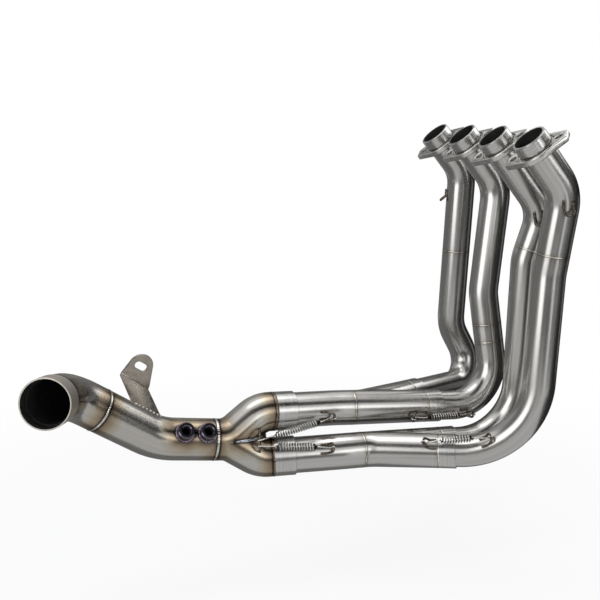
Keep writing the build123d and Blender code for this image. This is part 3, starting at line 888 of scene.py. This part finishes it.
taper = (stock["secondary"] - socketOuter) / 2
for n in pipeNumbers:
    branchLength = (base[n] - outletOf[levelOf[n]]).length / mm
    collectorBar = hooks["collectorBar"][n]
    branchRadius = socketOuter / 2 + taper * (collectorBar + hooks["leg"]) / branchLength
    out = outward(ahead[n], hooks["jointAngle"][n])
    seat = base[n] - ahead[n] * (collectorBar - hooks["bow"]) * mm
    rearBar, rearAcross = wireHook(f"collectorHook{n}", seat, -ahead[n], out, branchRadius,
                                   f"collector_hook_{n}")
    run = runLength(primaryRun[n]) - (hooks["primaryBar"][n] - hooks["bow"] - hooks["leg"] / 2) * mm
    frontBar, frontAcross = hookOnPipe(f"primaryHook{n}", n, run, False, out, f"primary_hook_{n}")
    tensionSpring(f"jointSpring{n}", rearBar, frontBar, rearAcross, frontAcross, f"joint_spring_{n}")

crotchMiddle = (inlet["upper"] + inlet["lower"]) / 2 + yOut * hooks["crotchBack"] * mm
stack = (inlet["upper"] - inlet["lower"]).normalized()
barMiddle = crotchMiddle + outward(yOut, 0) * hooks["crotchStandoff"] * mm
barEnds = [barMiddle + stack * side * hooks["crotchSpan"] / 2 * mm for side in (1, -1)]
feet = [inlet[level] + back[level] * rear["yInletStraight"] * mm for level in ("upper", "lower")]
wirePiece("crotchHook", [feet[0], *barEnds, feet[1]], [hooks["bend"]] * 2, "crotch_hook")
for level, side in (("upper", 1), ("lower", -1)):
    out = outward(back[level], hooks["secondaryAngle"][level])
    seat = inlet[level] - back[level] * (hooks["secondaryBar"] - hooks["bow"]) * mm
    bar, across = wireHook(f"{level}SecondaryHook", seat, -back[level], out, stock["secondary"] / 2,
                           f"{level}_secondary_hook")
    crotchBar = barMiddle + stack * side * hooks["crotchEyeGap"] / 2 * mm
    tensionSpring(f"{level}SecondarySpring", crotchBar, bar, stack, across, f"{level}_secondary_spring")

for n, azimuth in hooks["loopAzimuth"].items():
    facing = Vector((-sin(radians(azimuth)), -cos(radians(azimuth)), 0))
    hookOnPipe(f"topLoop{n}", n, hooks["loopRun"][n] * mm, True, facing, f"top_loop_{n}")
print("hooks and springs made")


# Weld beads

ringWeld = {"spacing": 0.55, "ripple": 0.015, "every": 4}
thinBead = {"width": 2.4, "proud": 0.25}
fineBead = {"width": 3.0, "proud": 0.22}
broadBead = {"width": 9.0, "proud": 0.5}
fullBead = {"width": 12.0, "proud": 0.55}


def ripples(count, depth, every):
    # thickness along a bead, one ripple to so many points
    return [1 - depth + depth * cos(2 * pi * i / every) for i in range(count)]


def weldRing(name, point, axis, diameter, bead, material):
    radius = diameter / 2 + bead["proud"] - bead["width"] / 2
    points = ringPoints(point, axis, radius * mm, ringWeld["spacing"] * mm)
    swell = ripples(len(points), ringWeld["ripple"], ringWeld["every"])
    mesh = wireMesh(name, points, bead["width"] * mm, closed=True, swell=swell)
    for vert in mesh.vertices:
        vert.co.z = max(vert.co.z, cadBox[0].z)  # dressed flush with the underside
    addPiece(name, mesh, [material], "tube_steel")


for n in pipeNumbers:
    for index, (place, axis) in enumerate(seamsOf[n], 1):
        weldRing(f"primarySeam{n}Bead{index}", place, axis, stock["primary"], fineBead, beadSteel)
    weldRing(f"socketBead{n}", base[n], ahead[n], socketOuter, fineBead, beadSteel)
    weldRing(f"spigotBead{n}", corners[n][0], portAxis, stock["primary"], thinBead, beadSteel)
for level in inlet:
    weldRing(f"{level}CollectorBead", outletOf[level], ahead[innerPipe[level]], stock["secondary"], fineBead,
             beadSteel)
    weldRing(f"{level}InletBead", inlet[level], back[level], inletOuter, broadBead, brownBead)
weldRing("yOutletBead", yEnd, yOut, stock["outlet"], fullBead, beadSteel)
weldRing("elbowBead", elbowStart, climb, stock["outlet"], fullBead, beadSteel)

# bead along the crotch of the Y-piece, from the near side round the saddle to the far side
crotchWeld = {
    "width": 5.0, "spacing": 1.2, "saddle": 2.1, "saddleReach": 16.0, "fade": 7, "ripple": 0.08, "every": 3,
}
crotchStart = min(yCrotch, key=lambda point: point.x)
crotchCentre = Vector((crotchStart.x, sum(point.y for point in yCrotch) / len(yCrotch), crotchStart.z))
nearSide = outward(yOut, 0)


def roundCrotch(point):
    reach = point - crotchCentre
    return atan2(reach.dot(nearSide), -reach.dot(yOut))


crotchPoints = []
for point in sorted(yCrotch, key=roundCrotch):
    if not crotchPoints or (point - crotchPoints[-1]).length > crotchWeld["spacing"] * mm:
        crotchPoints.append(point)
saddle = min(crotchPoints, key=lambda point: point.dot(yOut))
swell = ripples(len(crotchPoints), crotchWeld["ripple"], crotchWeld["every"])
for i, point in enumerate(crotchPoints):  # stoutest at the saddle, running out at both ends
    near = max(0.0, 1 - (point - saddle).length / mm / crotchWeld["saddleReach"])
    runOut = min(1.0, (min(i, len(crotchPoints) - 1 - i) + 1) / crotchWeld["fade"])
    swell[i] *= (1 + (crotchWeld["saddle"] - 1) * near) * runOut
mesh = wireMesh("crotchBead", crotchPoints, crotchWeld["width"] * mm, swell=swell)
addPiece("crotchBead", mesh, [paleBead], "tube_steel")

bungWeld = {"width": 3.4, "beside": 0.4, "above": 0.3, "points": 96, "ripple": 0.08, "every": 4}
sideways = bungAxis.cross(yOut).normalized()
ringRadius = bungs["diameter"] / 2 + bungWeld["beside"]
pipeRadius = stock["outlet"] / 2 + bungWeld["above"]
for index, along in enumerate(bungs["along"], 1):
    seat = yEnd + yOut * along * mm
    points = []
    for i in range(bungWeld["points"]):
        angle = 2 * pi * i / bungWeld["points"]
        offset = ringRadius * sin(angle)
        lift = (pipeRadius ** 2 - offset ** 2) ** 0.5  # the ring lies on the round of the pipe
        points.append(seat + (yOut * ringRadius * cos(angle) + sideways * offset + bungAxis * lift) * mm)
    swell = ripples(len(points), bungWeld["ripple"], bungWeld["every"])
    mesh = wireMesh(f"lambdaBead{index}", points, bungWeld["width"] * mm, closed=True, swell=swell)
    addPiece(f"lambdaBead{index}", mesh, [bluedBead], "bung_steel")
print("weld beads made")


# Port flanges: the frame's own plates with their edges broken

# edge in mm, flatArea in square mm, the rest in degrees
plates = {"edge": 0.45, "flatArea": 40.0, "sharp": 28, "level": 0.5, "flatten": 1.5, "shade": 30}


def breakEdges(bm):
    # small round on every sharp edge; gives back the faces that stay flat
    rims = [edge for edge in bm.edges
            if len(edge.link_faces) == 2 and edge.calc_face_angle() > radians(plates["sharp"])]
    broken = bmesh.ops.bevel(bm, geom=rims, offset=plates["edge"] * mm, offset_type="OFFSET", affect="EDGES",
                             segments=2, profile=0.5, material=-1, clamp_overlap=True)
    bm.normal_update()
    rounded = set(broken["faces"])
    flat = set()
    for face in bm.faces:
        beside = [other for edge in face.edges for other in edge.link_faces
                  if other is not face and other not in rounded]
        level = any(face.normal.angle(other.normal, 0) < radians(plates["level"]) for other in beside)
        if face not in rounded and (level or face.calc_area() > plates["flatArea"] * mm * mm):
            flat.add(face)
    return flat


for n in pipeNumbers:
    bm = bmesh.new()
    bm.from_mesh(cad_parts[f"port_flange_{n}"].data)
    bmesh.ops.remove_doubles(bm, verts=list(bm.verts), dist=sameSpot)
    bmesh.ops.dissolve_limit(bm, angle_limit=radians(plates["flatten"]), verts=list(bm.verts),
                             edges=list(bm.edges))
    bmesh.ops.recalc_face_normals(bm, faces=list(bm.faces))
    flat = breakEdges(bm)
    mesh = closeMesh(bm, f"portFlange{n}", plates["shade"], flat)
    addPiece(f"portFlange{n}", mesh, [flangeSteel], "flange_steel", f"port_flange_{n}")


# Hanger bracket: a flat tab with its slot, then the fold, then the web down to the pipe

bracket = {
    "sheet": 2.5, "along": 32.0, "foot": 42.0, "rise": (-11.0, 20.0, 29.0),
    "tabRise": 19.0, "tabShift": 5.0, "tabRadius": 15.0, "slotLength": 16.0, "slotWidth": 9.0,
    "bendRadius": 4.6, "bendSteps": 8, "root": 0.8, "arcPoints": 40,
}
bracketWeld = {"width": 2.8, "beside": 0.5, "above": 0.2, "points": 41, "ripple": 0.2, "every": 5}
footMiddle = dip + climb * bracket["along"] * mm
crown = (Vector((0, 0, 1)) - climb * climb.z).normalized()
foldMiddle = footMiddle + crown * stock["outlet"] / 2 * mm + spot(bracket["rise"])
tabBack = (Vector((0, 1, 0)) - climb * climb.y).normalized()
tabUp = tabBack.cross(climb)
rootMiddle = footMiddle + crown * (stock["outlet"] / 2 - bracket["root"]) * mm
webDown = rootMiddle - foldMiddle
webLine = (webDown - climb * webDown.dot(climb)).normalized()
foldAngle = (-tabUp).angle(webLine)
foldReach = bracket["bendRadius"] * tan(foldAngle / 2)


def onTab(x, y):
    return foldMiddle + (climb * x + tabUp * y) * mm


def tabArc(centreX, radius, startAngle, endAngle):
    steps = bracket["arcPoints"]
    angles = [startAngle + (endAngle - startAngle) * i / steps for i in range(steps + 1)]
    return [(centreX + radius * cos(angle), bracket["tabRise"] + radius * sin(angle)) for angle in angles]


lobe = Vector((bracket["tabShift"], bracket["tabRise"]))
touch = {}
for side in (1, -1):  # where each side of the tab runs into its round end
    toLobe = lobe - Vector((side * bracket["foot"] / 2, 0))
    lean = atan2(bracket["tabRadius"], (toLobe.length_squared - bracket["tabRadius"] ** 2) ** 0.5)
    touch[side] = atan2(toLobe.y, toLobe.x) - side * lean - side * pi / 2
halfSlot = (bracket["slotLength"] - bracket["slotWidth"]) / 2
slotRadius = bracket["slotWidth"] / 2
rightEnd, leftEnd = lobe.x + halfSlot, lobe.x - halfSlot
slot = tabArc(rightEnd, slotRadius, -pi / 2, pi / 2) + tabArc(leftEnd, slotRadius, pi / 2, 3 * pi / 2)
if touch[-1] < touch[1]:
    touch[-1] += 2 * pi
roundEnd = tabArc(lobe.x, bracket["tabRadius"], touch[1], touch[-1])
cut = []
for side, (x, y) in ((1, roundEnd[0]), (-1, roundEnd[-1])):  # foot of the tab, just above the fold
    foot = side * bracket["foot"] / 2
    cut.append((foot + (x - foot) * foldReach / y, foldReach))
outline = [cut[0], *roundEnd, cut[1]]

bm = bmesh.new()
rims = []
for ring in (outline, slot):
    verts = [bm.verts.new(onTab(*place)) for place in ring]
    rims.append([bm.edges.new(pair) for pair in zip(verts, verts[1:] + verts[:1])])
hinge = rims[0][-1]
bmesh.ops.triangle_fill(bm, edges=rims[0] + rims[1], use_beauty=True, normal=-tabBack)
bendCentre = onTab(0, foldReach) - tabBack * bracket["bendRadius"] * mm
foldAxis = climb if webLine.cross(tabUp).dot(climb) > 0 else -climb
fold = bmesh.ops.spin(bm, geom=[hinge, *hinge.verts], cent=bendCentre, axis=foldAxis,
                      angle=foldAngle, steps=bracket["bendSteps"], use_duplicate=False)
lastEdge = [item for item in fold["geom_last"] if isinstance(item, bmesh.types.BMEdge)]
web = bmesh.ops.extrude_edge_only(bm, edges=lastEdge)["geom"]
webFoot = [item for item in web if isinstance(item, bmesh.types.BMVert)]
for vert in webFoot:  # the web leans along the pipe as it comes down
    side = 1 if (vert.co - foldMiddle).dot(climb) > 0 else -1
    vert.co = rootMiddle + climb * side * bracket["foot"] / 2 * mm
bmesh.ops.remove_doubles(bm, verts=list(bm.verts), dist=sameSpot)
bmesh.ops.recalc_face_normals(bm, faces=list(bm.faces))
bm.normal_update()
for vert in bm.verts:
    vert.co += vert.normal * vert.calc_shell_factor() * bracket["sheet"] / 2 * mm
bmesh.ops.solidify(bm, geom=list(bm.faces), thickness=bracket["sheet"] * mm)
bmesh.ops.recalc_face_normals(bm, faces=list(bm.faces))
flat = breakEdges(bm)
mesh = closeMesh(bm, "hangerBracket", plates["shade"], flat)
addPiece("hangerBracket", mesh, [bracketSteel], "bracket_steel", "hanger_bracket")

webNormal = climb.cross(foldMiddle - footMiddle).normalized()
for name, side in (("bracketBeadNear", -1), ("bracketBeadFar", 1)):  # a fillet on each face of the web
    offset = webNormal * side * (bracket["sheet"] / 2 + bracketWeld["beside"])
    radial = (offset + crown * stock["outlet"] / 2).normalized()
    middle = footMiddle + radial * (stock["outlet"] / 2 + bracketWeld["above"]) * mm
    shares = [i / (bracketWeld["points"] - 1) - 0.5 for i in range(bracketWeld["points"])]
    points = [middle + climb * share * bracket["foot"] * mm for share in shares]
    swell = ripples(len(points), bracketWeld["ripple"], bracketWeld["every"])
    mesh = wireMesh(name, points, bracketWeld["width"] * mm, swell=swell)
    addPiece(name, mesh, [beadSteel], "bracket_steel")
print("plates made")


# Studio

# in metres, apart from the colours, the glow and the steps
studio = {
    "floorDrop": 0.12, "floorSize": 9.0, "paper": "f2f2f2", "fill": "dcdde0", "fillStrength": 0.8,
    "shadowFrom": 0.3, "shadowTo": 0.9, "shadowGlow": 0.85,
    "cardRadius": 1.15, "cardSteps": 24, "groundLift": 0.004,
}
floorLevel = cadBox[0].z - studio["floorDrop"]
subject = (cadBox[0] + cadBox[1]) / 2


def stagePiece(name, bm, material):
    mesh = bpy.data.meshes.new(name)
    bm.to_mesh(mesh)
    bm.free()
    mesh.materials.append(material)
    piece = bpy.data.objects.new(name, mesh)
    bpy.context.scene.collection.objects.link(piece)
    return piece


def seenRays(tree):
    # 1 for the rays that show the background: camera, mirror and glass
    path = addNode(tree, "ShaderNodeLightPath")
    direct = addNode(tree, "ShaderNodeMath", {"operation": "MAXIMUM"}, {
        0: path.outputs["Is Camera Ray"], 1: path.outputs["Is Glossy Ray"]})
    return addNode(tree, "ShaderNodeMath", {"operation": "MAXIMUM"}, {
        0: direct.outputs["Value"], 1: path.outputs["Is Transmission Ray"]})


whitePaper, tree, shader = startMaterial("white paper")
shader.inputs["Base Color"].default_value = linear(studio["paper"])
shader.inputs["Roughness"].default_value = 0.9
place = addNode(tree, "ShaderNodeTexCoord")
fromSubject = addNode(tree, "ShaderNodeVectorMath", {"operation": "DISTANCE"}, {
    0: place.outputs["Object"], 1: (subject.x, subject.y, floorLevel)})
bare = addNode(tree, "ShaderNodeMapRange", {"interpolation_type": "SMOOTHSTEP"}, {
    "Value": fromSubject.outputs["Value"], "From Min": studio["shadowFrom"], "From Max": studio["shadowTo"],
    "To Min": studio["shadowGlow"], "To Max": 1.0})
share = addNode(tree, "ShaderNodeMath", {"operation": "MULTIPLY"}, {
    0: seenRays(tree).outputs["Value"], 1: bare.outputs["Result"]})
glow = addNode(tree, "ShaderNodeEmission", {}, {"Color": (1, 1, 1, 1), "Strength": 1.0})
paper = addNode(tree, "ShaderNodeMixShader", {}, {
    "Fac": share.outputs["Value"], 1: shader.outputs["BSDF"], 2: glow.outputs["Emission"]})
tree.links.new(paper.outputs["Shader"], tree.nodes["Material Output"].inputs["Surface"])
bm = bmesh.new()
bmesh.ops.create_grid(bm, x_segments=1, y_segments=1, size=studio["floorSize"])
bmesh.ops.translate(bm, verts=list(bm.verts), vec=(0, 0, floorLevel))
stagePiece("floor", bm, whitePaper)

world = bpy.data.worlds.new("studio")
bpy.context.scene.world = world
world.use_nodes = True
tree = world.node_tree
fill = addNode(tree, "ShaderNodeBackground", {}, {
    "Color": linear(studio["fill"]), "Strength": studio["fillStrength"]})
white = addNode(tree, "ShaderNodeBackground", {}, {"Color": (1, 1, 1, 1), "Strength": 1.0})
mixed = addNode(tree, "ShaderNodeMixShader", {}, {
    "Fac": seenRays(tree).outputs["Value"], 1: fill.outputs["Background"], 2: white.outputs["Background"]})
tree.links.new(mixed.outputs["Shader"], tree.nodes["World Output"].inputs["Surface"])


def awayFrom(azimuth, elevation):
    # azimuth as in the views: 0 stands where the camera looks along +Y, 90 on the +X side
    swing, lift = radians(azimuth), radians(elevation)
    return Vector((sin(swing) * cos(lift), -cos(swing) * cos(lift), sin(lift)))


def softbox(name, azimuth, elevation, distance, size, watts):
    away = awayFrom(azimuth, elevation)
    lamp = bpy.data.lights.new(name, "AREA")
    lamp.shape = "RECTANGLE"
    lamp.size, lamp.size_y = size
    lamp.energy = watts
    holder = bpy.data.objects.new(name, lamp)
    holder.location = subject + away * distance
    holder.rotation_euler = away.to_track_quat("Z", "Y").to_euler()
    holder.visible_camera = False
    bpy.context.scene.collection.objects.link(holder)


# azimuth and elevation, distance and size in metres, watts
softbox("keySoftbox", -58, 10, 1.7, (1.2, 1.3), 8)
softbox("topSoftbox", 15, 100, 1.6, (1.7, 0.75), 7)
softbox("frontSoftbox", 16, 12, 1.7, (1.0, 0.7), 3.0)
softbox("rimSoftbox", 38, -4, 1.25, (0.36, 0.45), 1.0)
softbox("rightSoftbox", 105, 30, 0.95, (0.55, 0.25), 0.7)


def cardMaterial(grey):
    material, tree, shader = startMaterial("card " + grey)
    shader.inputs["Base Color"].default_value = (0, 0, 0, 1)
    shader.inputs["Specular IOR Level"].default_value = 0.0
    shader.inputs["Emission Color"].default_value = linear(grey)
    shader.inputs["Emission Strength"].default_value = 1.0
    material.cycles.emission_sampling = "NONE"  # found by mirrored rays alone, which is less grainy
    return material


def standCard(bm, name, grey):
    # a grey card round the set that the metal mirrors as a band; the camera looks through it
    piece = stagePiece(name, bm, cardMaterial(grey))
    piece.visible_camera = False
    piece.visible_diffuse = False
    piece.visible_shadow = False


def wallCard(name, azimuths, heights, grey):
    bm = bmesh.new()
    side = awayFrom(azimuths[0], 0) * studio["cardRadius"]
    verts = [bm.verts.new((subject.x + side.x, subject.y + side.y, height)) for height in heights]
    edge = bm.edges.new(verts)
    bmesh.ops.spin(bm, geom=[*verts, edge], cent=(subject.x, subject.y, 0), axis=(0, 0, 1),
                   angle=radians(azimuths[1] - azimuths[0]), steps=studio["cardSteps"], use_duplicate=False)
    standCard(bm, name, grey)


def flatCard(name, size, place, grey):
    bm = bmesh.new()
    bmesh.ops.create_grid(bm, x_segments=1, y_segments=1, size=0.5)
    bmesh.ops.scale(bm, verts=list(bm.verts), vec=(*size, 1))
    bmesh.ops.transform(bm, matrix=place, verts=list(bm.verts))
    standCard(bm, name, grey)


def tiltedCard(name, azimuth, elevation, distance, size, grey):
    away = awayFrom(azimuth, elevation)
    flatCard(name, size, squareTo(away, subject + away * distance), grey)


def groundCard(name, low, high, grey):
    size = (high[0] - low[0], high[1] - low[1])
    middle = ((low[0] + high[0]) / 2, (low[1] + high[1]) / 2, floorLevel + studio["groundLift"])
    flatCard(name, size, Matrix.Translation(middle), grey)


# upper edges of the wall cards in metres
frontTop = -0.12
stripTop = -0.1
rightTop = 0.25
sideTop = 0.3
wallTop = 0.75
wallCard("frontCard", (-42, 13), (floorLevel, frontTop), "6e6e6e")
wallCard("frontStripCard", (13, 24), (floorLevel, frontTop), "ffffff")
wallCard("frontRightCard", (24, 48), (floorLevel, frontTop), "5a5a5a")
wallCard("rightCard", (48, 66), (floorLevel, rightTop), "3c3c3c")
wallCard("farRightCard", (66, 84), (floorLevel, sideTop), "2a2a2a")
wallCard("sideStripCard", (84, 98), (floorLevel, stripTop), "868686")
wallCard("sideHighCard", (84, 98), (stripTop, sideTop), "1c1c1c")
wallCard("sideDarkCard", (98, 122), (floorLevel, sideTop), "1c1c1c")
wallCard("sideBackCard", (122, 152), (floorLevel, sideTop), "6a6a6a")
wallCard("backCard", (152, 172), (floorLevel, wallTop), "7e7e7e")
wallCard("backLowCard", (172, 232), (floorLevel, stripTop), "828282")
wallCard("backHighCard", (172, 232), (stripTop, wallTop), "b4b4b4")
wallCard("leftCard", (232, 278), (floorLevel, wallTop), "868686")
tiltedCard("frontHighCard", 5, 53, 1.3, (2.9, 0.66), "0c0c0c")
groundCard("frontGround", (-1.2, -1.0), (0.22, -0.05), "d8d8d8")
groundCard("rightGround", (0.22, -0.7), (1.1, 1.0), "303030")
groundCard("backGround", (-1.2, -0.05), (0.22, 1.0), "808080")

view = {"lens": 50, "sensor": 36, "place": (-0.486, -0.945, 0.024), "tilt": 77.5, "turn": -15.5}
lens = bpy.data.cameras.new("camera")
lens.lens, lens.sensor_width = view["lens"], view["sensor"]
camera = bpy.data.objects.new("camera", lens)
camera.location = view["place"]
camera.rotation_euler = (radians(view["tilt"]), 0, radians(view["turn"]))
bpy.context.scene.collection.objects.link(camera)
bpy.context.scene.camera = camera
bpy.context.scene.view_settings.view_transform = "Standard"
print("studio ready")
